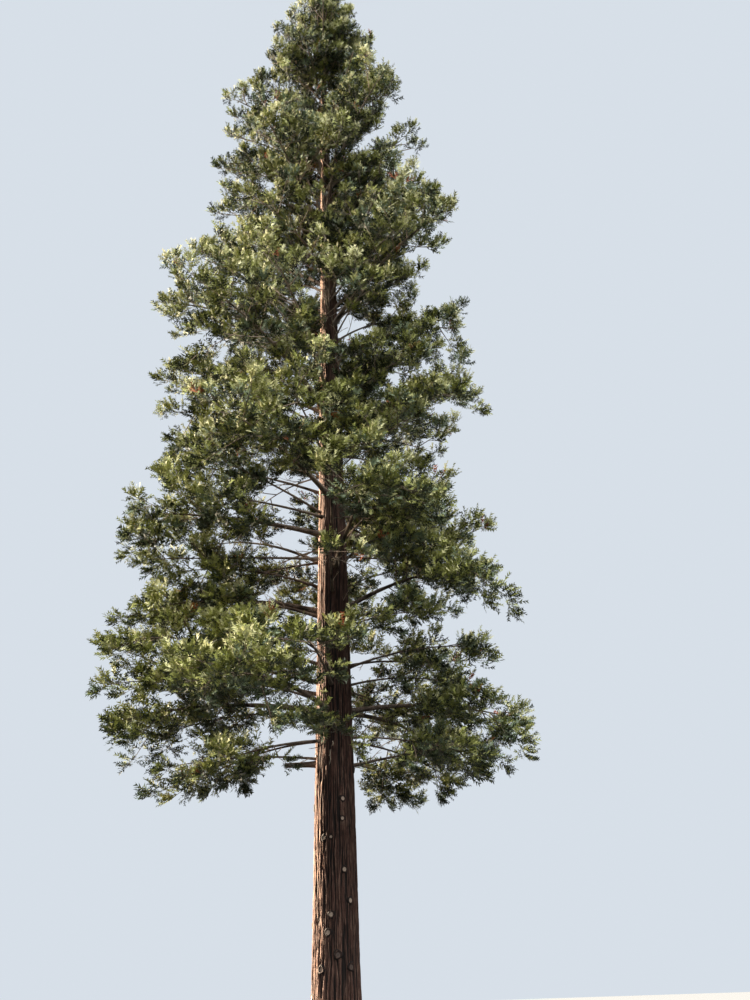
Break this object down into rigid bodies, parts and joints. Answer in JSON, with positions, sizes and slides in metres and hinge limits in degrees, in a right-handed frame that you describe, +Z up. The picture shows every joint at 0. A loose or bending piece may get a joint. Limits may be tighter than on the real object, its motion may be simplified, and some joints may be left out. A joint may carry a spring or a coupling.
{
  "type": "redwood tree",
  "caption": "Tall conifer with a straight flared trunk, tiers of bare boughs and a long pointed crown of needle sprays on twigs, cut flat at ground level.",
  "frame": {"origin": "middle of the flat cut under the trunk, at ground level", "axes": "+Z up the trunk, +X to the viewer's right and +Y away from the viewer"},
  "size_m": [8.5205, 8.5916, 24.9862],
  "materials": {
    "bark": "thick fibrous red-brown bark with deep long furrows",
    "branch_bark": "rough grey-brown bark",
    "foliage": "dark olive needle sprays with yellow-green, blue-green and a few russet ones"
  },
  "bodies": {
    "root": {"trunk": "bark", "sawn_stub": "branch_bark", "bough_1_left": "branch_bark", "bough_1_front_left": "branch_bark", "bough_1_right": "branch_bark", "bough_1_back_right": "branch_bark", "bough_2_left": "branch_bark", "bough_2_front": "branch_bark", "bough_2_front_right": "branch_bark", "bough_2_back": "branch_bark", "bough_3_left": "branch_bark", "bough_3_front_left": "branch_bark", "bough_3_right": "branch_bark", "bough_3_back": "branch_bark", "bough_4_back_left": "branch_bark", "bough_4_front_left": "branch_bark", "bough_4_front_right": "branch_bark", "bough_4_back_right": "branch_bark", "bough_5_left": "branch_bark", "bough_5_front_right": "branch_bark", "bough_5_right": "branch_bark", "bough_5_back_left": "branch_bark", "bough_6_back_left": "branch_bark", "bough_6_front_left": "branch_bark", "bough_6_front_right": "branch_bark", "bough_6_back_right": "branch_bark", "foliage_1_left": "foliage", "foliage_1_front_left": "foliage", "foliage_1_right": "foliage", "foliage_1_back_right": "foliage", "foliage_2_left": "foliage", "foliage_2_front": "foliage", "foliage_2_front_right": "foliage", "foliage_2_back": "foliage", "foliage_3_left": "foliage", "foliage_3_front_left": "foliage", "foliage_3_right": "foliage", "foliage_3_back": "foliage", "foliage_4_back_left": "foliage", "foliage_4_front_left": "foliage", "foliage_4_front_right": "foliage", "foliage_4_back_right": "foliage", "foliage_5_left": "foliage", "foliage_5_front_right": "foliage", "foliage_5_right": "foliage", "foliage_5_back_left": "foliage", "foliage_6_back_left": "foliage", "foliage_6_front_left": "foliage", "foliage_6_front_right": "foliage", "foliage_6_back_right": "foliage", "foliage_7_back_left": "foliage", "foliage_7_front_right": "foliage", "foliage_7_back_right": "foliage", "foliage_8_left": "foliage", "foliage_8_front_right": "foliage", "foliage_8_back": "foliage", "foliage_9_back_left": "foliage", "foliage_9_front": "foliage", "foliage_9_right": "foliage", "foliage_10_leader": "foliage"}
  },
  "joints": []
}
